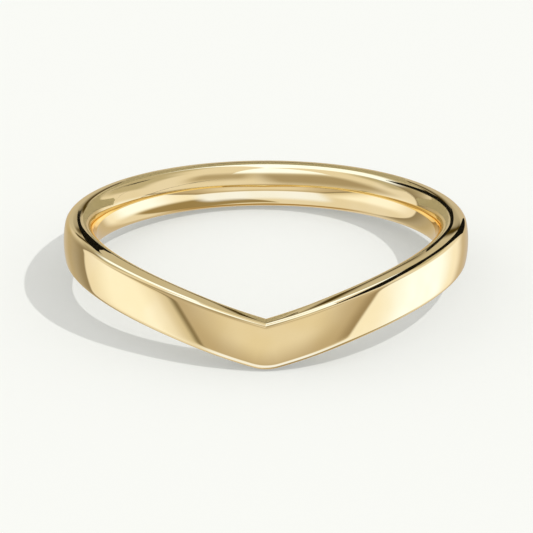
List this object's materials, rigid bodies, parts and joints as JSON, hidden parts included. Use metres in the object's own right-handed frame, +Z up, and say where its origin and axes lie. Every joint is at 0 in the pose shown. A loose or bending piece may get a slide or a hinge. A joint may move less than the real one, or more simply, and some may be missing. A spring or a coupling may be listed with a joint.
{
  "type": "chevron ring",
  "caption": "Plain polished gold finger ring whose front dips to a V, lying on its side, with a crowned inner wall.",
  "frame": {"origin": "on the surface that the ring lies on, under the middle of its box", "axes": "+Z up from that surface; the tip of the V is at the front, towards -Y; +X to the right of someone who faces the tip. The finger's axis leans back from +Z towards +Y by 6.9 degrees"},
  "size_m": [0.0202, 0.0206, 0.0039],
  "materials": {
    "gold": "mirror-polished yellow gold, warm and pale, with faint hairlines"
  },
  "bodies": {
    "root": {"band": "gold"}
  },
  "joints": []
}
